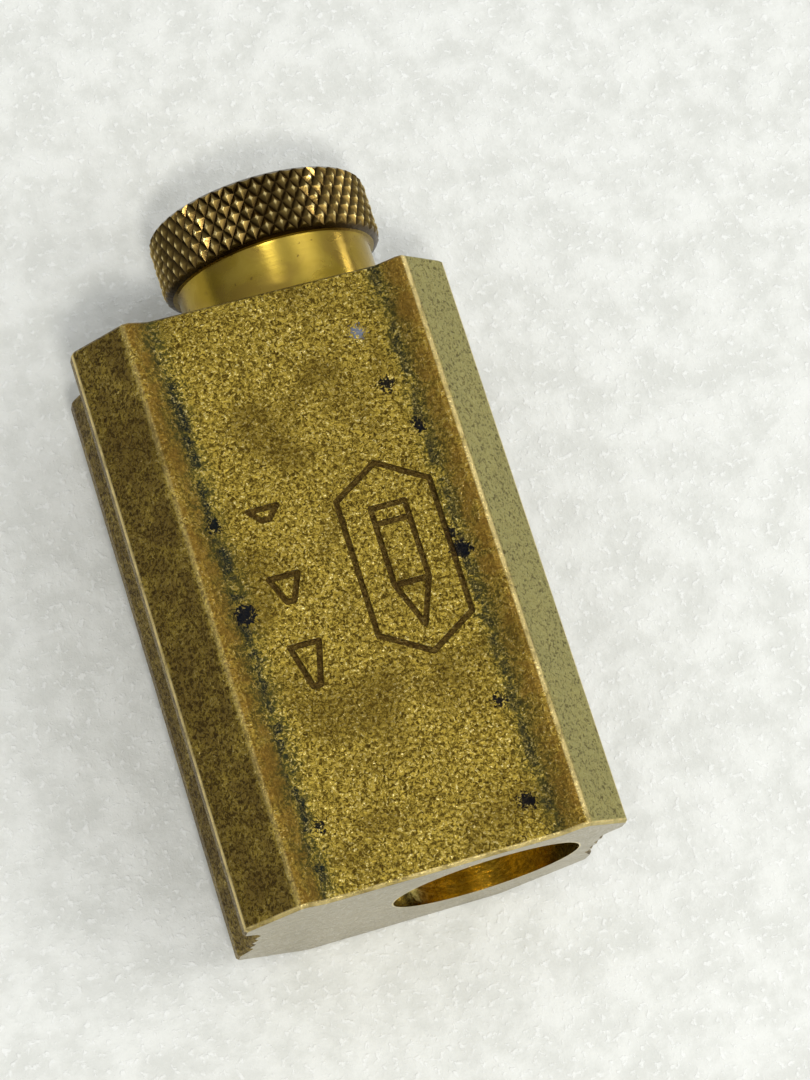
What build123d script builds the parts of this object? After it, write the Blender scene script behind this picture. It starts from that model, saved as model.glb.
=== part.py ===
"""Adjustable pencil sharpener: a drawn brass block with a steel blade and a knurled wheel.

The block lies on its blade side, back upwards. The pencil goes in at the mouth, the low end of Y,
and the wheel stands at the high end. The bore slopes down towards the wheel by its own half angle,
so the cone's lowest line lies flat, and the blade's bed is a plane just inside it. The wheel
carries three steel pins of different lengths, and the one that stands behind the lead's tip
decides how far the pencil goes in, and so how sharp its point becomes.

Origin: centre of the bounding box, on the plane that the block rests on. Millimetres.
"""

import os
from math import atan2, cos, degrees, radians, sin, tan

from build123d import *

# Block
body_length = 25.6
bar_half_width = 8.3
bar_height = 13.0
end_edge_break = 0.1

# Bar section, from the middle of the base round one side to the middle of the back
base_half_width = 4.5
lower_half_width = 8.0
lower_shoulder_bottom = 3.2
lower_shoulder_top = 4.3
flute_depth = 0.55
flute_bottom = 4.9
flute_top = 9.3
reed_count = 4
reed_depth = 0.22
upper_shoulder_bottom = 9.9
upper_shoulder_top = 10.9
ridge_outer = 6.2
ridge_inner = 5.85
land_half_width = 5.0
land_recess = 0.5

# Radii of the section's corners
base_radius = 0.8
lower_bottom_radius = 0.5
lower_top_radius = 0.3
reed_radius = 0.1
upper_bottom_radius = 0.3
upper_top_radius = 0.5
ridge_outer_radius = 0.18
ridge_inner_radius = 0.12
land_radius = 0.6

# Pencil bore
bore_radius = 4.1
bore_half_angle = 12.0
bore_x = 2.65
bore_mouth_height = 7.25
cone_apex = 21.8
cone_end_radius = 0.35

# Blade, its bed and the chip throat
blade_length = 19.3
blade_width = 8.6
blade_thickness = 0.9
blade_start = 2.45
bevel_width = 1.9
bevel_land = 0.08
blade_corner = 1.0
blade_clearance = 0.1
blade_bite = 0.06
slot_start = 2.3
slot_end = 22.1
slot_height = 2.1
throat_angle = 24.0

# Blade screw
screw_offset = 0.3
screw_radius = 1.45
screw_hole_radius = 1.5
screw_hole_depth = 6.2
screw_depth = 5.4
screw_head_radius = 2.7
screw_head_height = 1.15
screw_slot_width = 0.7
screw_slot_depth = 0.6
screw_slot_turn = 35
screw_crown_radius = 0.35
screw_end_chamfer = 0.35
blade_hole_radius = 1.75

# Adjusting wheel
wheel_x = 2.0
wheel_height = 6.3
head_radius = 5.0
head_thickness = 2.95
head_chamfer = 0.3
neck_radius = 4.4
neck_standoff = 2.8
neck_clearance = 0.05
neck_start = 22.6
neck_inside_start = 22.5
chamber_radius = 4.0
chamber_start = 19.7
dial_recess_radius = 1.7
dial_recess_depth = 0.35
dial_dot_radius = 0.32
dial_dot_circle = 3.3
dial_dot_spacing = 13.0
dial_dot_depth = 0.25

# Point stops
stop_pin_radius = 0.6
stop_pin_circle = 3.05
stop_pin_bed = 1.2
stop_tip_radius = 0.12
stop_fit = 0.01
stop_tips = (21.8, 21.0, 20.2)

# Retaining pin and its groove
retainer_radius = 0.5
retainer_y = 24.75
retainer_bottom = 0.1
retainer_top = 2.65
retainer_chamfer = 0.1
groove_width = 1.3
groove_radius = 3.5

# Detent
detent_y = 23.35
detent_hole_radius = 0.6
detent_hole_floor = 1.3
ball_radius = 0.55
ball_gap = 0.05
ball_groove_width = 1.0
ball_groove_depth = 0.2
dimple_depth = 0.35
spring_wire = 0.11
spring_turns = 5
spring_gap = 0.04

# Stamped marks on the back
stamp_depth = 0.14
stamp_line = 0.26
badge_length = 8.4
badge_half_width = 2.05
badge_shoulder = 2.97
badge_x = 2.35
badge_y = 13.0
pencil_half_width = 0.75
pencil_top = 2.3
pencil_cap = 0.7
pencil_shoulder = -1.1
pencil_tip = -3.0
row_x = -2.75
row_start = 16.5
row_step = 3.0
row_half_width = 0.625
row_tip_half_width = 0.156
row_lengths = (0.5, 1.1, 1.8)

# Worked out
overall_length = body_length + neck_standoff + head_thickness
mouth_y = -overall_length / 2
slope = radians(bore_half_angle)
bed_height = bore_mouth_height - cone_apex * tan(slope) + blade_bite
bearing_radius = neck_radius + neck_clearance
land_height = bar_height - land_recess
edge_x = bore_x
blade_back_x = edge_x - blade_width
screw_x = blade_back_x + blade_width / 2 - screw_offset
screw_y = blade_start + blade_length / 2
tip_angle = degrees(atan2(bed_height - wheel_height, bore_x - wheel_x))
wheel_end = body_length + neck_standoff + head_thickness


def across(distance):
    """The plane square to the length, that far from the mouth face. Its own axes are X and Z."""
    return Plane.XZ.offset(-(mouth_y + distance))


def wheel_point(radius, angle):
    """X and Z of a point at that radius and angle about the wheel's axis."""
    return (
        wheel_x + radius * cos(radians(angle)),
        wheel_height + radius * sin(radians(angle)),
    )


def section_points():
    """The bar's half section, with the radius of each corner between its two ends."""
    points = [(0, 0)]
    radii = []

    def corner(x, z, radius):
        points.append((x, z))
        radii.append(radius)

    flute_x = bar_half_width - flute_depth
    corner(base_half_width, 0, base_radius)
    corner(lower_half_width, lower_shoulder_bottom, lower_bottom_radius)
    corner(lower_half_width, lower_shoulder_top, lower_top_radius)
    reed_pitch = (flute_top - flute_bottom) / reed_count
    for reed in range(reed_count):
        crest = flute_bottom + reed * reed_pitch
        corner(flute_x, crest, reed_radius)
        corner(flute_x - reed_depth, crest + reed_pitch / 2, reed_radius)
    corner(flute_x, flute_top, reed_radius)
    corner(bar_half_width, upper_shoulder_bottom, upper_bottom_radius)
    corner(bar_half_width, upper_shoulder_top, upper_top_radius)
    corner(ridge_outer, bar_height, ridge_outer_radius)
    corner(ridge_inner, bar_height, ridge_inner_radius)
    corner(land_half_width, land_height, land_radius)
    points.append((0, land_height))
    return points, radii


def stroke(start, end):
    """One stamped line from start to end, with round ends."""
    a = Vector(*start)
    b = Vector(*end)
    run = b - a
    with Locations((a + b) * 0.5):
        SlotCenterToCenter(run.length, stamp_line, rotation=degrees(atan2(run.Y, run.X)))


def outline(points):
    """A closed stamped outline through the points."""
    for start, end in zip(points, points[1:] + points[:1]):
        stroke(start, end)


# ---------------------------------------------------------------- block
with BuildPart() as body:
    with BuildSketch(across(0)):
        with BuildLine():
            half_points, half_radii = section_points()
            FilletPolyline(*half_points, radius=half_radii)
            mirror(about=Plane.YZ)
        make_face()
    extrude(amount=-body_length)
    bar_ends = body.faces().filter_by(Axis.Y)
    chamfer(bar_ends.edges(), end_edge_break)

    # Slot across the base, with the blade's bed a little deeper
    with BuildSketch(Plane.XY):
        with Locations((0, mouth_y + (slot_start + slot_end) / 2)):
            Rectangle(2 * bar_half_width + 2, slot_end - slot_start)
    extrude(amount=slot_height, mode=Mode.SUBTRACT)
    with BuildSketch(Plane.XY):
        bed_left = blade_back_x - blade_clearance
        with Locations(((bed_left + edge_x) / 2, mouth_y + (slot_start + slot_end) / 2)):
            Rectangle(edge_x - bed_left, slot_end - slot_start)
    extrude(amount=bed_height, mode=Mode.SUBTRACT)

    # Chip throat: a plane that rises from the cutting edge and lays the cone's side open
    with BuildSketch(across(slot_start)):
        throat_reach = bar_half_width + 1 - edge_x
        with BuildLine():
            Polyline(
                (edge_x, 0),
                (edge_x + throat_reach, 0),
                (edge_x + throat_reach, bed_height + throat_reach * tan(radians(throat_angle))),
                (edge_x, bed_height),
                close=True,
            )
        make_face()
    extrude(amount=-(slot_end - slot_start), mode=Mode.SUBTRACT)

    # Pencil bore, a cylinder that runs into the cone, turned about its sloping axis
    bore_plane = Plane(
        origin=(bore_x, mouth_y, bore_mouth_height),
        x_dir=(1, 0, 0),
        z_dir=(0, sin(slope), cos(slope)),
    )
    axis_to_apex = cone_apex / cos(slope)
    cone_base = axis_to_apex - bore_radius / tan(slope)
    cone_end = axis_to_apex - cone_end_radius / tan(slope)
    with BuildSketch(bore_plane):
        with BuildLine():
            Polyline(
                (0, -2),
                (bore_radius, -2),
                (bore_radius, cone_base),
                (cone_end_radius, cone_end),
                (0, cone_end),
                close=True,
            )
        make_face()
    bore_axis = Axis((bore_x, mouth_y, bore_mouth_height), (0, cos(slope), -sin(slope)))
    revolve(axis=bore_axis, mode=Mode.SUBTRACT)

    # Bearing for the wheel's neck, and the chamber where its stop pins turn
    with BuildSketch(across(body_length)):
        with Locations((wheel_x, wheel_height)):
            Circle(bearing_radius)
    extrude(amount=body_length - neck_inside_start, mode=Mode.SUBTRACT)
    with BuildSketch(across(chamber_start)):
        with Locations((wheel_x, wheel_height)):
            Circle(chamber_radius)
    extrude(amount=-(neck_inside_start - chamber_start), mode=Mode.SUBTRACT)

    # Threaded hole for the blade screw and hole for the retaining pin
    with BuildSketch(Plane.XY):
        with Locations((screw_x, mouth_y + screw_y)):
            Circle(screw_hole_radius)
    extrude(amount=bed_height + screw_hole_depth, mode=Mode.SUBTRACT)
    with BuildSketch(Plane.XY):
        with Locations((wheel_x, mouth_y + retainer_y)):
            Circle(retainer_radius)
    extrude(amount=wheel_height - groove_radius, mode=Mode.SUBTRACT)

    # Groove that the detent's ball runs in, with three dimples where it clicks
    with BuildSketch(across(detent_y - ball_groove_width / 2)):
        with Locations((wheel_x, wheel_height)):
            Circle(bearing_radius + ball_groove_depth)
    extrude(amount=-ball_groove_width, mode=Mode.SUBTRACT)
    for click in range(3):
        dimple_centre = bearing_radius + dimple_depth - ball_radius
        dimple_x, dimple_z = wheel_point(dimple_centre, 90 + 120 * click)
        with Locations((dimple_x, mouth_y + detent_y, dimple_z)):
            Sphere(ball_radius, mode=Mode.SUBTRACT)

    # Stamped badge: a long hexagon round a pencil
    with BuildSketch(Plane.XY.offset(land_height)):
        with Locations((badge_x, mouth_y + badge_y)):
            half_length = badge_length / 2
            outline(
                [
                    (0, half_length),
                    (badge_half_width, badge_shoulder),
                    (badge_half_width, -badge_shoulder),
                    (0, -half_length),
                    (-badge_half_width, -badge_shoulder),
                    (-badge_half_width, badge_shoulder),
                ]
            )
            outline(
                [
                    (-pencil_half_width, pencil_top),
                    (pencil_half_width, pencil_top),
                    (pencil_half_width, pencil_shoulder),
                    (0, pencil_tip),
                    (-pencil_half_width, pencil_shoulder),
                ]
            )
            for line in (pencil_shoulder, pencil_top - pencil_cap):
                stroke((-pencil_half_width, line), (pencil_half_width, line))
    extrude(amount=-stamp_depth, mode=Mode.SUBTRACT)

    # Stamped row beside it: three pencil points, from blunt to sharp
    with BuildSketch(Plane.XY.offset(land_height)):
        for place, point_length in enumerate(row_lengths):
            with Locations((row_x, mouth_y + row_start - row_step * place)):
                outline(
                    [
                        (-row_half_width, 0),
                        (row_half_width, 0),
                        (row_tip_half_width, -point_length),
                        (-row_tip_half_width, -point_length),
                    ]
                )
    extrude(amount=-stamp_depth, mode=Mode.SUBTRACT)
body.part.label = "body"

# ---------------------------------------------------------------- blade
with BuildPart() as blade:
    with BuildSketch(Plane.XY.offset(bed_height)):
        with Locations((blade_back_x + blade_width / 2, mouth_y + screw_y)):
            outline_of_blade = Rectangle(blade_width, blade_length)
            fillet(outline_of_blade.vertices().group_by(Axis.X)[0], blade_corner)
    extrude(amount=-blade_thickness)
    # Ground bevel on the outer face, down to the cutting edge
    with BuildSketch(across(blade_start - 1)):
        with BuildLine():
            Polyline(
                (edge_x - bevel_width, bed_height - blade_thickness),
                (edge_x + 1, bed_height - blade_thickness),
                (edge_x + 1, bed_height - bevel_land),
                (edge_x, bed_height - bevel_land),
                close=True,
            )
        make_face()
    extrude(amount=-(blade_length + 2), mode=Mode.SUBTRACT)
    with BuildSketch(Plane.XY.offset(bed_height)):
        with Locations((screw_x, mouth_y + screw_y)):
            Circle(blade_hole_radius)
    extrude(amount=-blade_thickness, mode=Mode.SUBTRACT)
blade.part.label = "blade"

# ---------------------------------------------------------------- blade screw
with BuildPart() as blade_screw:
    head_top = bed_height - blade_thickness
    with BuildSketch(Plane.XY.offset(head_top)):
        with Locations((screw_x, mouth_y + screw_y)):
            Circle(screw_head_radius)
    extrude(amount=-screw_head_height)
    crown = blade_screw.faces().sort_by(Axis.Z)[0].edges()
    fillet(crown, screw_crown_radius)
    with BuildSketch(Plane.XY.offset(head_top - screw_head_height)):
        with Locations((screw_x, mouth_y + screw_y)):
            Rectangle(2 * screw_head_radius + 1, screw_slot_width, rotation=screw_slot_turn)
    extrude(amount=screw_slot_depth, mode=Mode.SUBTRACT)
    with BuildSketch(Plane.XY.offset(head_top)):
        with Locations((screw_x, mouth_y + screw_y)):
            Circle(screw_radius)
    extrude(amount=blade_thickness + screw_depth)
    chamfer(blade_screw.faces().sort_by(Axis.Z)[-1].edges(), screw_end_chamfer)
blade_screw.part.label = "blade_screw"

# ---------------------------------------------------------------- adjusting wheel
with BuildPart() as adjusting_wheel:
    with BuildSketch(across(neck_start)):
        with Locations((wheel_x, wheel_height)):
            Circle(neck_radius)
    extrude(amount=-(wheel_end - head_thickness - neck_start))
    with BuildSketch(across(wheel_end - head_thickness)):
        with Locations((wheel_x, wheel_height)):
            Circle(head_radius)
    extrude(amount=-head_thickness)
    head_rims = adjusting_wheel.edges().filter_by(GeomType.CIRCLE)
    head_rims = head_rims.filter_by(lambda rim: abs(rim.radius - head_radius) < 0.001)
    chamfer(head_rims, head_chamfer)

    # Groove for the retaining pin
    with BuildSketch(across(retainer_y - groove_width / 2)):
        with Locations((wheel_x, wheel_height)):
            Circle(neck_radius + 0.5)
            Circle(groove_radius, mode=Mode.SUBTRACT)
    extrude(amount=-groove_width, mode=Mode.SUBTRACT)

    # Holes for the stop pins in the inner face
    with BuildSketch(across(neck_start)):
        with Locations(
            *[wheel_point(stop_pin_circle, tip_angle + 120 * stop) for stop in range(3)]
        ):
            Circle(stop_pin_radius)
    extrude(amount=-stop_pin_bed, mode=Mode.SUBTRACT)

    # Blind hole for the detent's ball and spring, from the neck straight down
    with BuildSketch(Plane.XY.offset(wheel_height + detent_hole_floor)):
        with Locations((wheel_x, mouth_y + detent_y)):
            Circle(detent_hole_radius)
    extrude(amount=neck_radius, mode=Mode.SUBTRACT)

    # Turned recess in the outer face, and one, two and three dots for the three settings
    with BuildSketch(across(wheel_end)):
        with Locations((wheel_x, wheel_height)):
            Circle(dial_recess_radius)
    extrude(amount=dial_recess_depth, mode=Mode.SUBTRACT)
    with BuildSketch(across(wheel_end)):
        for setting in range(3):
            for dot in range(setting + 1):
                turn = (dot - setting / 2) * dial_dot_spacing
                with Locations(wheel_point(dial_dot_circle, tip_angle + 120 * setting + turn)):
                    Circle(dial_dot_radius)
    extrude(amount=dial_dot_depth, mode=Mode.SUBTRACT)
adjusting_wheel.part.label = "adjusting_wheel"

# ---------------------------------------------------------------- stop pins
stop_names = ("point_stop_sharp", "point_stop_medium", "point_stop_blunt")
point_stops = []
for stop, stop_name in enumerate(stop_names):
    with BuildPart() as point_stop:
        with BuildSketch(across(stop_tips[stop])):
            with Locations(wheel_point(stop_pin_circle, tip_angle + 120 * stop)):
                Circle(stop_pin_radius - stop_fit)
        extrude(amount=-(neck_start + stop_pin_bed - stop_tips[stop]))
        fillet(point_stop.faces().sort_by(Axis.Y)[0].edges(), stop_tip_radius)
    point_stop.part.label = stop_name
    point_stops.append(point_stop)

# ---------------------------------------------------------------- retaining pin
with BuildPart() as retaining_pin:
    with BuildSketch(Plane.XY.offset(retainer_bottom)):
        with Locations((wheel_x, mouth_y + retainer_y)):
            Circle(retainer_radius - stop_fit)
    extrude(amount=retainer_top - retainer_bottom)
    chamfer(retaining_pin.faces().filter_by(Axis.Z).edges(), retainer_chamfer)
retaining_pin.part.label = "retaining_pin"

# ---------------------------------------------------------------- detent ball and spring
ball_height = wheel_height + bearing_radius + ball_groove_depth - ball_gap - ball_radius
with BuildPart() as detent_ball:
    with Locations((wheel_x, mouth_y + detent_y, ball_height)):
        Sphere(ball_radius)
detent_ball.part.label = "detent_ball"

with BuildPart() as detent_spring:
    spring_radius = detent_hole_radius - spring_wire - spring_gap
    spring_foot = wheel_height + detent_hole_floor + spring_wire + spring_gap
    spring_head = ball_height - ball_radius - spring_wire
    with BuildLine():
        coil = Helix(
            pitch=(spring_head - spring_foot) / spring_turns,
            height=spring_head - spring_foot,
            radius=spring_radius,
            center=(wheel_x, mouth_y + detent_y, spring_foot),
        )
    with BuildSketch(Plane(origin=coil @ 0, z_dir=coil % 0)):
        Circle(spring_wire)
    sweep(path=coil, is_frenet=True)
detent_spring.part.label = "detent_spring"

# ---------------------------------------------------------------- one file for each piece
os.makedirs("parts", exist_ok=True)
pieces = [
    body,
    blade,
    blade_screw,
    adjusting_wheel,
    *point_stops,
    retaining_pin,
    detent_ball,
    detent_spring,
]
for piece in pieces:
    export_step(piece.part, f"parts/{piece.part.label}.step")
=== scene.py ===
from math import atan2, cos, pi, radians, sin, tan

import bmesh
import bpy
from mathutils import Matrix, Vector


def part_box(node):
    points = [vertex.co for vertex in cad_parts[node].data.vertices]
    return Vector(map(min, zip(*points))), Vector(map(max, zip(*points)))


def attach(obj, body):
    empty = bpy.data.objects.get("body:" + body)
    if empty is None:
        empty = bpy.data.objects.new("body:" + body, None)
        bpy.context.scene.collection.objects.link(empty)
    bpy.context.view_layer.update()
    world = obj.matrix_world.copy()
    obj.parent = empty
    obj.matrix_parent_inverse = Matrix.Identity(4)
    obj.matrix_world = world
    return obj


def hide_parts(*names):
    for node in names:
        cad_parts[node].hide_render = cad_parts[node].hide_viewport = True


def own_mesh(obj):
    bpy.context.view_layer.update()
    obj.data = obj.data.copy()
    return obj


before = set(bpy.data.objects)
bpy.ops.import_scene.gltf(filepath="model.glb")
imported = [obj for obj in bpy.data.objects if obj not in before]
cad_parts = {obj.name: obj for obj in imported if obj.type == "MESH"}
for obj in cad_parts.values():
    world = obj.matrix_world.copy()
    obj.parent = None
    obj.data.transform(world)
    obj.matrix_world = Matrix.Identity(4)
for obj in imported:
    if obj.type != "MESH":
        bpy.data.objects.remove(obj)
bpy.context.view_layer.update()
bpy.ops.object.select_all(action="DESELECT")


# ---------------------------------------------------------------- camera
# Close up from above the mouth's left corner, so the back fills the view, the mouth's end face
# shows as a narrow band and the wheel stands furthest away.
mm = 0.001
bpy.ops.object.camera_add(
    location=(-26.11 * mm, -33.79 * mm, 144.1 * mm),
    rotation=(radians(16.34), radians(-7.704), radians(-17.536)),
)
camera = bpy.context.object
camera.data.lens = 111.2
camera.data.clip_start = 10 * mm
bpy.context.scene.camera = camera


# ---------------------------------------------------------------- floor and light
# A pale sheet of felted paper, a small lamp above the front, windows to the right and a room that
# is dimmer to the left and near the floor.
def material_called(name):
    """A new material with nodes, and its shader."""
    made = bpy.data.materials.new(name)
    made.use_nodes = True
    return made, made.node_tree.nodes["Principled BSDF"]


def node(material, kind, inputs=None, **settings):
    """A new node with its settings, and with a value or a link in each of the named inputs."""
    made = material.node_tree.nodes.new(kind)
    for key, value in settings.items():
        setattr(made, key, value)
    for key, value in (inputs or {}).items():
        if isinstance(value, bpy.types.NodeSocket):
            material.node_tree.links.new(value, made.inputs[key])
        else:
            made.inputs[key].default_value = value
    return made


def millimetres(material):
    """The place on the piece, in millimetres."""
    place = node(material, "ShaderNodeTexCoord").outputs["Object"]
    return node(
        material, "ShaderNodeVectorMath", {0: place, "Scale": 1 / mm}, operation="SCALE"
    ).outputs[0]


def noise(material, place, scale, detail=3.0, distortion=0.0, roughness=0.5):
    """A cloud of values about a half, with that many lumps to the millimetre."""
    values = {
        "Vector": place,
        "Scale": scale,
        "Detail": detail,
        "Roughness": roughness,
        "Distortion": distortion,
    }
    return node(material, "ShaderNodeTexNoise", values).outputs["Fac"]


def ramp(material, value, low, high, start=0.0, end=1.0):
    """The value stretched so that low gives start and high gives end, with nothing beyond them."""
    values = {"Value": value, 1: low, 2: high, 3: start, 4: end}
    return node(material, "ShaderNodeMapRange", values, interpolation_type="SMOOTHSTEP").outputs[0]


def calc(material, operation, one, other=0.0):
    """Two values put together by one operation."""
    return node(material, "ShaderNodeMath", {0: one, 1: other}, operation=operation).outputs[0]


def product(material, total, *factors):
    """The values multiplied together."""
    for factor in factors:
        total = calc(material, "MULTIPLY", total, factor)
    return total


def blend_colours(material, share, one, other):
    """The first colour where share is nought, and the other where it is one."""
    values = {"Factor": share, 6: one, 7: other}
    return node(material, "ShaderNodeMix", values, data_type="RGBA").outputs[2]


def bump(material, height, distance, strength=1.0, under=None):
    """A normal from a height, where a height of one stands that far out."""
    values = {"Height": height, "Distance": distance, "Strength": strength}
    if under is not None:
        values["Normal"] = under
    return node(material, "ShaderNodeBump", values).outputs["Normal"]


def colour(red, green, blue):
    """A solid colour."""
    return (red, green, blue, 1.0)


bpy.ops.mesh.primitive_plane_add(size=900 * mm)
floor = bpy.context.object
floor.name = "paper_floor"
paper, paper_shader = material_called("felted_paper")
floor_place = millimetres(paper)
fluff = noise(paper, floor_place, 0.5, detail=7.0, roughness=0.62)
flecks = ramp(paper, noise(paper, floor_place, 3.0, detail=3.0), 0.53, 0.68)
paper_tone = blend_colours(
    paper, ramp(paper, fluff, 0.35, 0.65), colour(0.74, 0.745, 0.69), colour(0.86, 0.865, 0.81)
)
paper_tone = blend_colours(
    paper, product(paper, flecks, 0.7), paper_tone, colour(0.93, 0.935, 0.89)
)
paper.node_tree.links.new(paper_tone, paper_shader.inputs["Base Color"])
nap = calc(paper, "ADD", fluff, product(paper, flecks, 0.12))
paper.node_tree.links.new(bump(paper, nap, 0.22 * mm, 0.8), paper_shader.inputs["Normal"])
paper_shader.inputs["Roughness"].default_value = 0.95
floor.data.materials.append(paper)

for name, place, size, power, tint, aim in (
    ("lamp_in_front", (-30, -85, 203), 20, 0.15, (1.0, 0.985, 0.95), (0, 0, 6)),
    ("window_light", (105, -50, 172), 90, 0.07, (1.0, 0.99, 0.97), (0, 0, 6)),
    ("low_window", (200, 50, 45), 24, 0.03, (1.0, 0.99, 0.97), (0, 8, 6)),
):
    bpy.ops.object.light_add(type="AREA", location=[value * mm for value in place])
    light = bpy.context.object
    light.name = name
    light.data.size = size * mm
    light.data.energy = power
    light.data.color = tint
    towards = Vector([value * mm for value in aim]) - light.location
    light.rotation_euler = towards.to_track_quat("-Z", "Y").to_euler()

room = bpy.data.worlds.new("room")
room.use_nodes = True
bpy.context.scene.world = room
sky = room.node_tree.nodes["Background"]
direction = room.node_tree.nodes.new("ShaderNodeTexCoord")
towards_axes = room.node_tree.nodes.new("ShaderNodeSeparateXYZ")
room.node_tree.links.new(direction.outputs["Generated"], towards_axes.inputs[0])
brightness = room.node_tree.nodes.new("ShaderNodeMath")
for slot, axis, dim_end, bright_end, dim, bright in (
    (0, 0, -0.8, 0.9, 0.14, 0.42),
    (1, 2, -0.1, 0.95, 0.08, 0.58),
):
    share = room.node_tree.nodes.new("ShaderNodeMapRange")
    room.node_tree.links.new(towards_axes.outputs[axis], share.inputs["Value"])
    for socket, value in zip((1, 2, 3, 4), (dim_end, bright_end, dim, bright)):
        share.inputs[socket].default_value = value
    room.node_tree.links.new(share.outputs[0], brightness.inputs[slot])
room.node_tree.links.new(brightness.outputs[0], sky.inputs["Strength"])
sky.inputs["Color"].default_value = (0.95, 0.97, 1.0, 1.0)
bpy.context.scene.view_settings.view_transform = "Standard"


# ---------------------------------------------------------------- block
# A bar of drawn brass, tumbled until its skin is finely pitted, then milled square at its ends and
# bored. It is olive and brown in its corners, and years of handling have left it bright on its
# edges.
# Its shoulders are darkened with painted shade, and its right shoulder is paled with a painted
# reflection.
block_low, block_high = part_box("body")
mouth = block_low.y / mm
top = block_high.z / mm
half_width = block_high.x / mm
land = top - 0.5
valley = 5.0
crest = 6.2
shoulder_height = 10.9
bore_radius = 4.1
bore_x = 2.65
bore_height = 7.25
bore_slope = radians(12)
cone_apex = 21.8


def hypotenuse(material, one, other):
    """The length of one value and another taken at right angles."""
    pair = node(material, "ShaderNodeCombineXYZ", {0: one, 1: other}).outputs[0]
    return node(material, "ShaderNodeVectorMath", {0: pair}, operation="LENGTH").outputs["Value"]


def close_to(material, value, level, far, near):
    """One where the value is within near of the level, and nought from far off it."""
    off_level = calc(material, "ABSOLUTE", calc(material, "SUBTRACT", value, level))
    return ramp(material, off_level, far, near)


def make_metal(material, shader, tone, rough, relief):
    """Gives a metal its colour, its roughness and the relief of its surface."""
    for socket, value in (("Base Color", tone), ("Roughness", rough), ("Normal", relief)):
        material.node_tree.links.new(value, shader.inputs[socket])
    shader.inputs["Metallic"].default_value = 1.0


def finish_node(name, material):
    """Gives a CAD piece its finished material."""
    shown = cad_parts[name]
    shown.data.materials.clear()
    shown.data.materials.append(material)


skin, skin_shader = material_called("aged_brass")
place = millimetres(skin)
across_x, along, height = node(skin, "ShaderNodeSeparateXYZ", {0: place}).outputs
normal = node(skin, "ShaderNodeTexCoord").outputs["Normal"]
facing = node(skin, "ShaderNodeSeparateXYZ", {0: normal})
off_centre = calc(skin, "ABSOLUTE", across_x)

grain = noise(skin, place, 6.4, detail=3.0, distortion=1.0, roughness=0.6)
fine_grain = noise(skin, place, 15.0, detail=3.0, distortion=0.6)
clouds = noise(skin, place, 0.32, detail=4.0, distortion=0.4)
blotches = noise(skin, place, 1.1, detail=4.0, distortion=0.8)

curls = noise(skin, place, 6.0, detail=1.5, distortion=1.3)
curls = calc(skin, "ABSOLUTE", calc(skin, "SUBTRACT", curls, 0.5))
nicks = product(skin, ramp(skin, curls, 0.032, 0.006), ramp(skin, grain, 0.62, 0.45, 0.15, 1.0))
# Painted highlight: small pale gold glints are painted into the colour, and made smoother
glints = product(skin, ramp(skin, fine_grain, 0.54, 0.61), ramp(skin, grain, 0.52, 0.62))
olive = colour(0.45, 0.325, 0.048)
pale_gold = colour(0.90, 0.76, 0.34)
dark_olive = colour(0.10, 0.062, 0.009)
tone = blend_colours(skin, ramp(skin, grain, 0.35, 0.58), dark_olive, olive)
tone = blend_colours(skin, product(skin, nicks, 0.9), tone, colour(0.040, 0.025, 0.006))
tone = blend_colours(skin, product(skin, glints, 0.9), tone, pale_gold)
tone = blend_colours(skin, ramp(skin, clouds, 0.46, 0.68, 0.0, 0.55), tone, dark_olive)

# The slopes inside the ridges are painted orange-brown, and the shoulders and flanks are painted a
# mottled dark brown as painted shade
slope_band = product(
    skin,
    ramp(skin, off_centre, valley, valley + 0.35),
    ramp(skin, off_centre, crest + 0.1, crest - 0.2),
)
tone = blend_colours(
    skin,
    product(skin, slope_band, ramp(skin, blotches, 0.35, 0.65, 0.35, 0.75)),
    tone,
    colour(0.25, 0.138, 0.024),
)
shoulders = product(
    skin,
    ramp(skin, off_centre, crest, crest + 0.3),
    ramp(skin, blotches, 0.30, 0.6, 0.35, 0.85),
)
# Painted shade: a mottled dark brown for the shoulders and flanks
shade_brown = blend_colours(
    skin, ramp(skin, grain, 0.38, 0.60), colour(0.045, 0.027, 0.006), colour(0.150, 0.095, 0.019)
)
tone = blend_colours(skin, shoulders, tone, shade_brown)

# Painted reflection: the right shoulder is painted a pale greenish gold for the bright surroundings
# it reflects, and stays darker in its pits
painted_right_reflection = product(
    skin,
    ramp(skin, across_x, crest, crest + 0.25),
    ramp(skin, grain, 0.36, 0.50, 0.25, 0.85),
    ramp(skin, height, shoulder_height - 0.5, shoulder_height),
)
tone = blend_colours(skin, painted_right_reflection, tone, colour(0.40, 0.365, 0.13))

# Green-black tarnish along the foot of each ridge, with blue-black patches, heavier on the left
for side, heaviness, reach in ((-1, 1.0, 0.40), (1, 0.8, 0.34)):
    foot = calc(skin, "SUBTRACT", product(skin, across_x, side), valley - 0.02)
    wander = ramp(skin, blotches, 0.3, 0.7, -0.2, 0.2)
    foot = calc(skin, "ABSOLUTE", calc(skin, "ADD", foot, wander))
    on_back = ramp(skin, height, land - 0.3, land - 0.1)
    mottled = ramp(skin, grain, 0.40, 0.6, 0.8 * heaviness, 0.1)
    wide = product(skin, ramp(skin, foot, 2.6 * reach, 0.1), on_back, mottled)
    tone = blend_colours(skin, wide, tone, colour(0.075, 0.080, 0.022))
    patchy = ramp(skin, blotches, 0.40, 0.55, 0.15, heaviness)
    speckled = ramp(skin, fine_grain, 0.4, 0.6, 1.0, 0.55)
    close = product(skin, ramp(skin, foot, reach, 0.08), on_back, patchy, speckled)
    tone = blend_colours(skin, close, tone, colour(0.014, 0.019, 0.017))

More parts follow.
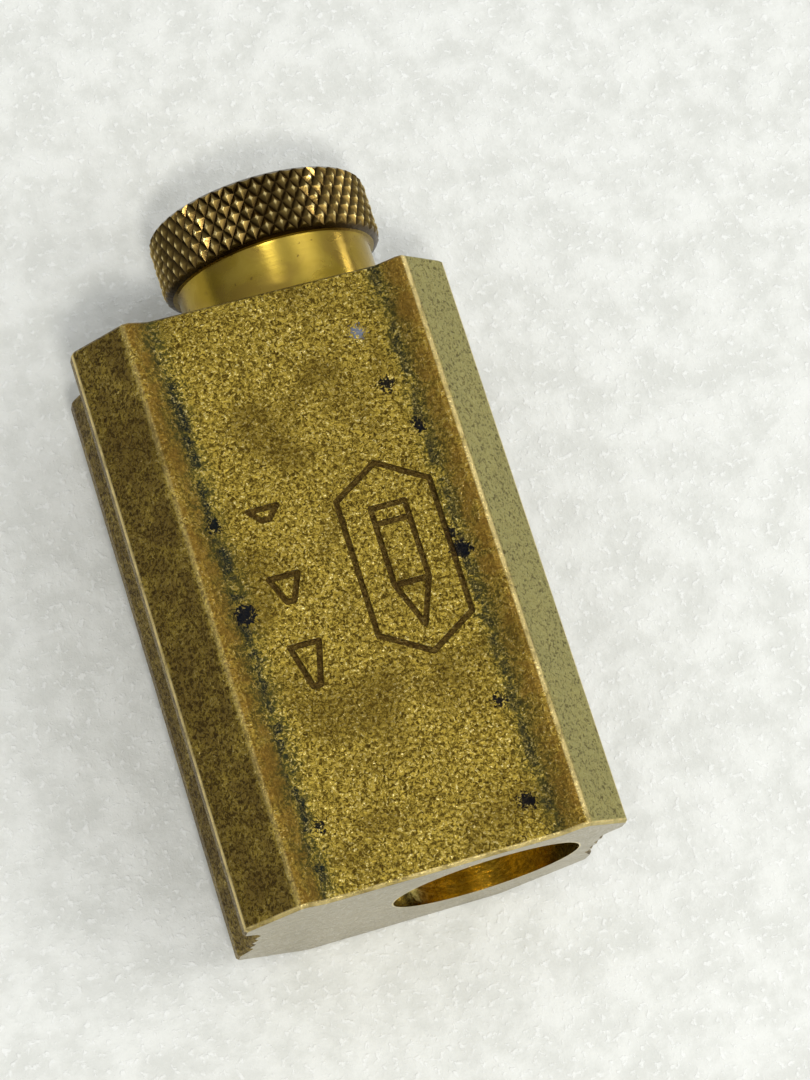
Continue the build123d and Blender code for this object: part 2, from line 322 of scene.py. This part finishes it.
# Ink-dark spots and one blue-grey one, dropped about the back
for spot_x, spot_y, spot_radius, spot_colour in (
    (4.75, -3.0, 0.46, (0.007, 0.008, 0.013)),
    (4.55, -2.2, 0.26, (0.008, 0.009, 0.012)),
    (-4.75, -3.3, 0.46, (0.006, 0.008, 0.014)),
    (-4.9, 0.6, 0.30, (0.008, 0.011, 0.013)),
    (3.9, 4.7, 0.32, (0.008, 0.009, 0.011)),
    (3.4, 7.2, 0.26, (0.20, 0.23, 0.30)),
    (4.6, 2.6, 0.28, (0.007, 0.008, 0.012)),
    (4.1, -13.9, 0.36, (0.006, 0.007, 0.011)),
    (4.3, -9.6, 0.26, (0.008, 0.009, 0.012)),
    (-4.4, -12.6, 0.26, (0.009, 0.011, 0.012)),
):
    offset = node(
        skin, "ShaderNodeVectorMath", {0: place, 1: (spot_x, spot_y, land)}, operation="DISTANCE"
    ).outputs["Value"]
    ragged = calc(skin, "ADD", offset, ramp(skin, fine_grain, 0.3, 0.7, -0.08, 0.08))
    ragged = calc(skin, "ADD", ragged, ramp(skin, grain, 0.3, 0.7, -0.2, 0.2))
    spot = ramp(skin, ragged, spot_radius + 0.06, spot_radius - 0.1, 0.0, 0.95)
    tone = blend_colours(skin, spot, tone, colour(*spot_colour))

# The floors of the stamped marks are painted dark brown
stamped = product(
    skin,
    ramp(skin, height, land - 0.03, land - 0.11),
    ramp(skin, facing.outputs[2], 0.2, 0.6),
    ramp(skin, off_centre, valley, valley - 0.2),
)
tone = blend_colours(skin, product(skin, stamped, 0.85), tone, colour(0.07, 0.04, 0.012))

# The milled ends and the bore are clean metal with fine tool marks
end_face = ramp(skin, calc(skin, "ABSOLUTE", facing.outputs[1]), 0.80, 0.97)
from_bore = node(
    skin,
    "ShaderNodeMapping",
    {"Vector": place, "Location": (-bore_x, -mouth, -bore_height)},
).outputs[0]
along_bore = node(
    skin, "ShaderNodeMapping", {"Vector": from_bore, "Rotation": (bore_slope, 0, 0)}
).outputs[0]
bore_across, bore_depth, bore_up = node(skin, "ShaderNodeSeparateXYZ", {0: along_bore}).outputs
cone_depth = calc(skin, "SUBTRACT", cone_apex / cos(bore_slope), bore_depth)
cone_wide = product(skin, cone_depth, tan(bore_slope))
bore_wide = calc(skin, "MINIMUM", calc(skin, "ADD", cone_wide, 0.05), bore_radius + 0.06)
past_bore = calc(skin, "SUBTRACT", hypotenuse(skin, bore_across, bore_up), bore_wide)
in_bore = ramp(skin, past_bore, 0.03, -0.02)
machined = calc(skin, "MAXIMUM", end_face, in_bore)
tool_place = node(
    skin, "ShaderNodeMapping", {"Vector": place, "Scale": (0.25, 6.0, 9.0)}
).outputs[0]
tool_marks = noise(skin, tool_place, 1.0)
clean = blend_colours(
    skin,
    ramp(skin, tool_marks, 0.25, 0.75),
    colour(0.265, 0.225, 0.13),
    colour(0.425, 0.37, 0.235),
)
bored = blend_colours(
    skin, ramp(skin, tool_marks, 0.35, 0.65), colour(0.46, 0.35, 0.08), colour(0.80, 0.64, 0.20)
)
tone = blend_colours(skin, end_face, tone, clean)
tone = blend_colours(skin, in_bore, tone, bored)

# Handling has rubbed the edges bright, and the ridge edges are painted brighter towards the right
# as a painted highlight
ridge_edge = product(
    skin,
    close_to(skin, off_centre, crest, 0.16, 0.04),
    ramp(skin, height, top - 0.25, top - 0.1),
    # painted highlight: the ridge edges grow brighter from left to right
    ramp(skin, across_x, -1, 1, 0.25, 1.0),
)
mouth_edge = product(
    skin,
    close_to(skin, along, mouth + 0.08, 0.13, 0.05),
    ramp(skin, facing.outputs[2], 0.3, 0.6),
)
shoulder_edge = product(
    skin,
    close_to(skin, height, shoulder_height - 0.05, 0.15, 0.05),
    ramp(skin, off_centre, half_width - 0.25, half_width - 0.08),
)
rubbed_and_highlit = calc(skin, "MAXIMUM", ridge_edge, calc(skin, "MAXIMUM", mouth_edge, shoulder_edge))
rubbed_and_highlit = product(skin, rubbed_and_highlit, ramp(skin, blotches, 0.3, 0.6, 0.35, 0.9))
tone = blend_colours(skin, rubbed_and_highlit, tone, colour(0.86, 0.68, 0.28))

rough = ramp(skin, grain, 0.3, 0.7, 0.52, 0.36)
for smooth_area, gain in ((glints, 0.12), (rubbed_and_highlit, 0.12), (machined, 0.14), (in_bore, 0.11)):
    rough = calc(skin, "SUBTRACT", rough, product(skin, smooth_area, gain))

pits = calc(skin, "ADD", grain, product(skin, fine_grain, 0.35))
pits = calc(skin, "SUBTRACT", pits, product(skin, nicks, 0.35))
as_drawn = calc(skin, "SUBTRACT", 1.0, machined)
pits = product(skin, pits, as_drawn)
relief = bump(skin, pits, 0.07 * mm)
relief = bump(skin, product(skin, tool_marks, machined), 0.004 * mm, under=relief)
make_metal(skin, skin_shader, tone, rough, relief)
finish_node("body", skin)


# ---------------------------------------------------------------- adjusting wheel
# One piece turned from brass bar: a bearing with a groove for its retaining pin, a plain neck and a
# head whose rim is rolled with a diamond knurl. Its face has a turned recess and drilled dots.
wheel_low, wheel_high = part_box("adjusting_wheel")
wheel_x = (wheel_low.x + wheel_high.x) / 2
wheel_z = (wheel_low.z + wheel_high.z) / 2
head_radius = (wheel_high.x - wheel_low.x) / 2
head_thickness = 2.95 * mm
head_start = wheel_high.y - head_thickness
neck_radius = 4.4 * mm
inner_corner = 0.15 * mm
groove_radius = 3.5 * mm
groove_low = mouth * mm + 24.1 * mm
groove_high = mouth * mm + 25.4 * mm
recess_radius = 1.7 * mm
recess_depth = 0.35 * mm
knurl_count = 48
knurl_rows = 3
knurl_depth = 0.17 * mm
knurl_foot = head_radius - knurl_depth - 0.01 * mm
face_edge = 0.09 * mm
rim_start = head_start + face_edge
rim_end = wheel_high.y - face_edge
rim_row = (rim_end - rim_start) / knurl_rows
pin_hole_radius = 0.6 * mm
pin_cutter = 3 * mm
ball_hole_radius = 0.6 * mm
ball_hole_floor = 1.3 * mm
ball_cutter = 6 * mm
dot_radius = 0.32 * mm
dot_depth = 0.25 * mm
dot_circle = 3.3 * mm
dot_spacing = radians(13)

profile = [
    (0, wheel_low.y),
    (neck_radius - inner_corner, wheel_low.y),
    (neck_radius, wheel_low.y + inner_corner),
    (neck_radius, groove_low),
    (groove_radius, groove_low),
    (groove_radius, groove_high),
    (neck_radius, groove_high),
    (neck_radius, head_start - 0.12 * mm),
    (neck_radius + 0.05 * mm, head_start - 0.02 * mm),
    (neck_radius + 0.12 * mm, head_start),
    (knurl_foot - 0.18 * mm, head_start),
    *[(knurl_foot, rim_start + row * rim_row) for row in range(knurl_rows + 1)],
    (knurl_foot - 0.20 * mm, wheel_high.y),
    (recess_radius + 0.05 * mm, wheel_high.y),
    (recess_radius, wheel_high.y - 0.05 * mm),
    (recess_radius - 0.04 * mm, wheel_high.y - recess_depth),
    (0, wheel_high.y - recess_depth),
]
bpy.ops.mesh.primitive_plane_add(size=mm, location=(0, 0, 0))
wheel = bpy.context.object
wheel.name = "knurled_wheel"
bpy.ops.object.mode_set(mode="EDIT")
bpy.ops.mesh.delete(type="VERT")
mesh = bmesh.from_edit_mesh(wheel.data)
turned_line = [mesh.verts.new((wheel_x + out, at, wheel_z)) for out, at in profile]
for start, end in zip(turned_line, turned_line[1:]):
    mesh.edges.new((start, end))
bmesh.update_edit_mesh(wheel.data)
bpy.ops.mesh.select_all(action="SELECT")
bpy.ops.mesh.spin(steps=knurl_count, angle=2 * pi, center=(wheel_x, 0, wheel_z), axis=(0, 1, 0))
bpy.ops.mesh.select_all(action="SELECT")
bpy.ops.mesh.remove_doubles(threshold=0.002 * mm)
bpy.ops.mesh.normals_make_consistent(inside=False)


def from_axis(point):
    """How far a point is from the wheel's axis."""
    return Vector((point.x - wheel_x, point.z - wheel_z)).length


def select_faces(chosen):
    """Selects the mesh's faces that the test chooses by their middle and corner count."""
    bpy.ops.mesh.select_mode(type="FACE")
    bpy.ops.mesh.select_all(action="DESELECT")
    mesh = bmesh.from_edit_mesh(wheel.data)
    for face in mesh.faces:
        face.select_set(chosen(face.calc_center_median(), len(face.verts)))
    bmesh.update_edit_mesh(wheel.data)


def on_rim(middle):
    """Whether a face with that middle is on the wheel's rim."""
    return rim_start < middle.y < rim_end and from_axis(middle) > 0.985 * knurl_foot


# Roll the knurl: each square of the rim is cut corner to corner and its old edges go, which leaves
# diamonds, and each diamond is raised to a blunt pyramid, as are the half diamonds at the ends
select_faces(lambda middle, corners: on_rim(middle))
bpy.ops.mesh.poke()
bpy.ops.mesh.select_mode(type="EDGE")
bpy.ops.mesh.select_all(action="DESELECT")
mesh = bmesh.from_edit_mesh(wheel.data)
for edge in mesh.edges:
    middle = (edge.verts[0].co + edge.verts[1].co) / 2
    is_old = min(from_axis(vert.co) for vert in edge.verts) > 0.9995 * knurl_foot
    clear_of_ends = rim_start + 0.01 * mm < middle.y < rim_end - 0.01 * mm
    edge.select_set(is_old and clear_of_ends)
bmesh.update_edit_mesh(wheel.data)
bpy.ops.mesh.dissolve_edges(use_verts=False)
for corner_count, shoulder, rise in ((4, 0.215, 1.0), (3, 0.12, 0.7)):
    select_faces(lambda middle, corners: on_rim(middle) and corners == corner_count)
    bpy.ops.mesh.inset(use_individual=True, thickness=shoulder * mm, depth=rise * knurl_depth)
bpy.ops.object.mode_set(mode="OBJECT")

# Drill the three pin holes, the detent's hole and the dots that number the settings
cutters = []


def drill(radius, depth, place, rotation):
    """Stands a cutter for a round hole with its middle at that place."""
    bpy.ops.mesh.primitive_cylinder_add(
        vertices=32, radius=radius, depth=depth, location=place, rotation=rotation
    )
    cutters.append(bpy.context.object)


lengthways = (radians(90), 0, 0)
stops = ("point_stop_sharp", "point_stop_medium", "point_stop_blunt")
for setting, stop in enumerate(stops):
    stop_low, stop_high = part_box(stop)
    stop_middle = (stop_low + stop_high) / 2
    hole_place = (stop_middle.x, stop_high.y - pin_cutter / 2, stop_middle.z)
    drill(pin_hole_radius, pin_cutter, hole_place, lengthways)
    bearing = atan2(stop_middle.z - wheel_z, stop_middle.x - wheel_x)
    for dot in range(setting + 1):
        turn = bearing + dot_spacing * (dot - setting / 2)
        dot_x = wheel_x + dot_circle * cos(turn)
        dot_z = wheel_z + dot_circle * sin(turn)
        drill(dot_radius, 2 * dot_depth, (dot_x, wheel_high.y, dot_z), lengthways)
ball_low, ball_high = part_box("detent_ball")
ball_middle = (ball_low + ball_high) / 2
ball_cutter_height = wheel_z + ball_hole_floor + ball_cutter / 2
ball_hole_place = (ball_middle.x, ball_middle.y, ball_cutter_height)
drill(ball_hole_radius, ball_cutter, ball_hole_place, (0, 0, 0))
bpy.ops.object.select_all(action="DESELECT")
for cutter in cutters:
    cutter.select_set(True)
bpy.context.view_layer.objects.active = cutters[0]
bpy.ops.object.join()
drilled = bpy.context.object
bpy.ops.object.transform_apply(location=True, rotation=True, scale=True)
bpy.ops.object.select_all(action="DESELECT")
wheel.select_set(True)
bpy.context.view_layer.objects.active = wheel
cut = wheel.modifiers.new("drilled", "BOOLEAN")
cut.operation = "DIFFERENCE"
cut.solver = "EXACT"
cut.object = drilled
bpy.ops.object.modifier_apply(modifier="drilled")
bpy.data.objects.remove(drilled)
bpy.ops.object.shade_smooth_by_angle(angle=radians(32))


def from_wheel_axis(material, place):
    """How far the place is from the wheel's axis, and how far it is along the axis."""
    to_axis = (-wheel_x / mm, 0, -wheel_z / mm)
    centred = node(material, "ShaderNodeMapping", {"Vector": place, "Location": to_axis})
    x, y, z = node(material, "ShaderNodeSeparateXYZ", {0: centred.outputs[0]}).outputs
    return hypotenuse(material, x, z), y


turned, turned_shader = material_called("turned_brass")
wheel_place = millimetres(turned)
outward, lengthwise = from_wheel_axis(turned, wheel_place)
wheel_normal = node(turned, "ShaderNodeTexCoord").outputs["Normal"]
wheel_facing = node(turned, "ShaderNodeSeparateXYZ", {0: wheel_normal}).outputs[1]
on_face = ramp(turned, calc(turned, "ABSOLUTE", wheel_facing), 0.6, 0.9)
lathe_place = node(
    turned, "ShaderNodeCombineXYZ", {0: lengthwise, 1: product(turned, outward, on_face)}
).outputs[0]
lathe_lines = noise(turned, lathe_place, 6.0, detail=5.0, roughness=0.7)
smudges = noise(turned, wheel_place, 0.7, detail=4.0, distortion=0.5)
gold = blend_colours(
    turned, ramp(turned, smudges, 0.3, 0.7), colour(0.30, 0.205, 0.024), colour(0.40, 0.285, 0.045)
)
gold = blend_colours(
    turned, ramp(turned, lathe_lines, 0.55, 0.75, 0.0, 0.5), gold, colour(0.34, 0.23, 0.05)
)
face_depth = calc(turned, "SUBTRACT", wheel_high.y / mm, lengthwise)
# Painted darker from 0.2 to 0.8 mm below the face: the floor of its recess and the walls of its
# dots and holes
face_recess_dark = product(
    turned,
    ramp(turned, face_depth, 0.05, 0.2),
    ramp(turned, face_depth, 1.2, 0.8),
    ramp(turned, smudges, 0.3, 0.6, 0.9, 0.5),
)
gold = blend_colours(turned, face_recess_dark, gold, colour(0.11, 0.07, 0.02))
specks = noise(turned, wheel_place, 3.2, detail=4.0)
gold = blend_colours(
    turned, ramp(turned, specks, 0.66, 0.72, 0.0, 0.75), gold, colour(0.13, 0.08, 0.02)
)
film = noise(turned, wheel_place, 0.45, detail=5.0, distortion=0.8)
gold = blend_colours(
    turned, ramp(turned, film, 0.48, 0.68, 0.0, 0.55), gold, colour(0.26, 0.165, 0.035)
)
turned_rough = ramp(turned, smudges, 0.3, 0.7, 0.24, 0.31)
make_metal(turned, turned_shader, gold, turned_rough, bump(turned, lathe_lines, 0.010 * mm))
turned_shader.inputs["Anisotropic"].default_value = 0.85
turned_shader.inputs["Anisotropic Rotation"].default_value = 0.25
round_axis = node(turned, "ShaderNodeTangent", direction_type="RADIAL", axis="Y")
turned.node_tree.links.new(round_axis.outputs[0], turned_shader.inputs["Tangent"])

# The rolled rim is painted darkest in its grooves and pale along its crests; the pale crests are a
# painted highlight
rolled, rolled_shader = material_called("rolled_knurl")
rolled_place = millimetres(rolled)
rolled_out = from_wheel_axis(rolled, rolled_place)[0]
rim_wear = noise(rolled, rolled_place, 1.6, detail=4.0, distortion=0.4)
rim_slopes = ramp(rolled, rolled_out, knurl_foot / mm, head_radius / mm - 0.05)
crest_highlight = ramp(rolled, rolled_out, head_radius / mm - 0.06, head_radius / mm - 0.02)
slope_tone = blend_colours(
    rolled, ramp(rolled, rim_wear, 0.3, 0.7), colour(0.15, 0.10, 0.026), colour(0.25, 0.17, 0.048)
)
rim_tone = blend_colours(rolled, rim_slopes, colour(0.06, 0.037, 0.011), slope_tone)
# Painted highlight along the crests
rim_tone = blend_colours(rolled, crest_highlight, rim_tone, colour(0.66, 0.51, 0.21))
rim_rough = ramp(rolled, rim_wear, 0.3, 0.7, 0.18, 0.28)
make_metal(rolled, rolled_shader, rim_tone, rim_rough, bump(rolled, rim_wear, 0.03 * mm))

wheel.data.materials.clear()
wheel.data.materials.append(turned)
wheel.data.materials.append(rolled)
for face in wheel.data.polygons:
    if face.center.y > head_start - 0.01 * mm and from_axis(face.center) > 0.955 * knurl_foot:
        face.material_index = 1
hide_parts("adjusting_wheel")
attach(wheel, "wheel")


# ---------------------------------------------------------------- blade
# Hardened steel strip, ground flat on both faces, with a wider bevel ground along the cutting edge
# in fine strokes across it.
bevel_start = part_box("blade")[1].x / mm - 1.9
ground, ground_shader = material_called("ground_steel")
blade_place = millimetres(ground)
blade_across = node(ground, "ShaderNodeSeparateXYZ", {0: blade_place}).outputs[0]
stroke_place = node(
    ground, "ShaderNodeMapping", {"Vector": blade_place, "Scale": (0.3, 9.0, 1.0)}
).outputs[0]
strokes = noise(ground, stroke_place, 1.0, detail=5.0, roughness=0.65)
stains = noise(ground, blade_place, 0.5, detail=5.0, distortion=0.5)
on_bevel = ramp(ground, blade_across, bevel_start - 0.05, bevel_start + 0.05)
steel = blend_colours(
    ground, ramp(ground, strokes, 0.35, 0.65), colour(0.42, 0.42, 0.43), colour(0.60, 0.60, 0.61)
)
steel = blend_colours(
    ground, ramp(ground, stains, 0.58, 0.72, 0.0, 0.6), steel, colour(0.26, 0.22, 0.18)
)
steel = blend_colours(ground, product(ground, on_bevel, 0.75), steel, colour(0.78, 0.79, 0.80))
steel_rough = ramp(ground, on_bevel, 0.0, 1.0, 0.34, 0.2)
make_metal(ground, ground_shader, steel, steel_rough, bump(ground, strokes, 0.01 * mm))
finish_node("blade", ground)


# ---------------------------------------------------------------- blade screw
# Turned steel, with a domed and slotted head that clamps the blade in its bed. It has dulled, and
# its slot is painted dark brown.
screw_low, screw_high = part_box("blade_screw")
screw_middle = (screw_low + screw_high) / 2
screwed, screwed_shader = material_called("dull_screw_steel")
screw_place = millimetres(screwed)
to_screw_axis = (-screw_middle.x / mm, -screw_middle.y / mm, 0)
screw_centred = node(
    screwed, "ShaderNodeMapping", {"Vector": screw_place, "Location": to_screw_axis}
).outputs[0]
screw_x, screw_y, screw_z = node(screwed, "ShaderNodeSeparateXYZ", {0: screw_centred}).outputs
ring_place = node(
    screwed, "ShaderNodeCombineXYZ", {0: hypotenuse(screwed, screw_x, screw_y), 1: screw_z}
).outputs[0]
rings = noise(screwed, ring_place, 6.0, detail=4.0)
dull = noise(screwed, screw_place, 1.2, detail=5.0, distortion=0.6)
slot_top = screw_low.z / mm + 0.6
in_slot = ramp(screwed, screw_z, slot_top - 0.25, slot_top - 0.05)
dull_tone = blend_colours(
    screwed, ramp(screwed, dull, 0.35, 0.7), colour(0.50, 0.49, 0.46), colour(0.30, 0.28, 0.24)
)
dull_tone = blend_colours(
    screwed, product(screwed, in_slot, 0.8), dull_tone, colour(0.10, 0.08, 0.05)
)
dull_rough = ramp(screwed, dull, 0.3, 0.7, 0.28, 0.48)
make_metal(screwed, screwed_shader, dull_tone, dull_rough, bump(screwed, rings, 0.012 * mm))
finish_node("blade_screw", screwed)


# ---------------------------------------------------------------- pins and ball
# Small hardened steel pieces inside the block: three stop pins and the retaining pin are ground
# rod, and the detent's ball is polished.
def small_steel(name, dark, light, low_rough, high_rough, marks):
    """Steel with fine uneven marks, between a dark and a light colour."""
    made, shader = material_called(name)
    steel_place = millimetres(made)
    wear = noise(made, steel_place, marks, detail=5.0, distortion=0.4)
    film = noise(made, steel_place, 1.5, detail=3.0)
    tone = blend_colours(made, ramp(made, wear, 0.35, 0.65), dark, light)
    tone = blend_colours(
        made, ramp(made, film, 0.55, 0.75, 0.0, 0.5), tone, colour(0.22, 0.18, 0.12)
    )
    rough = ramp(made, wear, 0.3, 0.7, low_rough, high_rough)
    make_metal(made, shader, tone, rough, bump(made, wear, 0.004 * mm))
    return made


pin_steel = small_steel(
    "pin_steel", colour(0.34, 0.34, 0.34), colour(0.56, 0.56, 0.55), 0.24, 0.40, 8.0
)
for pin in (*stops, "retaining_pin"):
    finish_node(pin, pin_steel)
finish_node(
    "detent_ball",
    small_steel("ball_steel", colour(0.60, 0.60, 0.60), colour(0.72, 0.72, 0.72), 0.08, 0.16, 6.0),
)


# ---------------------------------------------------------------- detent spring
# Five turns of drawn wire behind the ball. Its foot stands on the floor of the hole in the wheel's
# neck.
spring_low, spring_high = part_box("detent_spring")
wire_radius = 0.11 * mm
wire_sides = 14
spring_turns = 5
steps_in_turn = 28
coil_radius = (spring_high.x - spring_low.x) / 2 - wire_radius
coil_height = spring_high.z - spring_low.z - 2 * wire_radius
bpy.ops.object.select_all(action="DESELECT")
bpy.ops.mesh.primitive_circle_add(
    vertices=wire_sides, radius=wire_radius, location=(0, 0, 0), rotation=(radians(90), 0, 0)
)
spring = bpy.context.object
spring.name = "coil_spring"
bpy.ops.object.transform_apply(location=True, rotation=True, scale=True)
bpy.ops.object.mode_set(mode="EDIT")
bpy.ops.mesh.select_all(action="SELECT")
bpy.ops.transform.translate(value=(coil_radius, 0, 0))
bpy.ops.object.mode_set(mode="OBJECT")
coiled = spring.modifiers.new("coiled", "SCREW")
coiled.axis = "Z"
coiled.angle = spring_turns * 2 * pi
coiled.screw_offset = coil_height
coiled.steps = coiled.render_steps = spring_turns * steps_in_turn
bpy.ops.object.modifier_apply(modifier="coiled")
bpy.ops.object.mode_set(mode="EDIT")
bpy.ops.mesh.select_all(action="SELECT")
bpy.ops.mesh.fill_holes(sides=0)
bpy.ops.mesh.select_all(action="SELECT")
bpy.ops.mesh.normals_make_consistent(inside=False)
bpy.ops.transform.translate(value=(ball_middle.x, ball_middle.y, spring_low.z + wire_radius))
bpy.ops.object.mode_set(mode="OBJECT")
bpy.ops.object.shade_smooth_by_angle(angle=radians(40))
spring.data.materials.append(
    small_steel(
        "spring_wire", colour(0.30, 0.29, 0.28), colour(0.50, 0.49, 0.47), 0.22, 0.36, 20.0
    )
)
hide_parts("detent_spring")
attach(spring, "wheel")
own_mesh(spring)
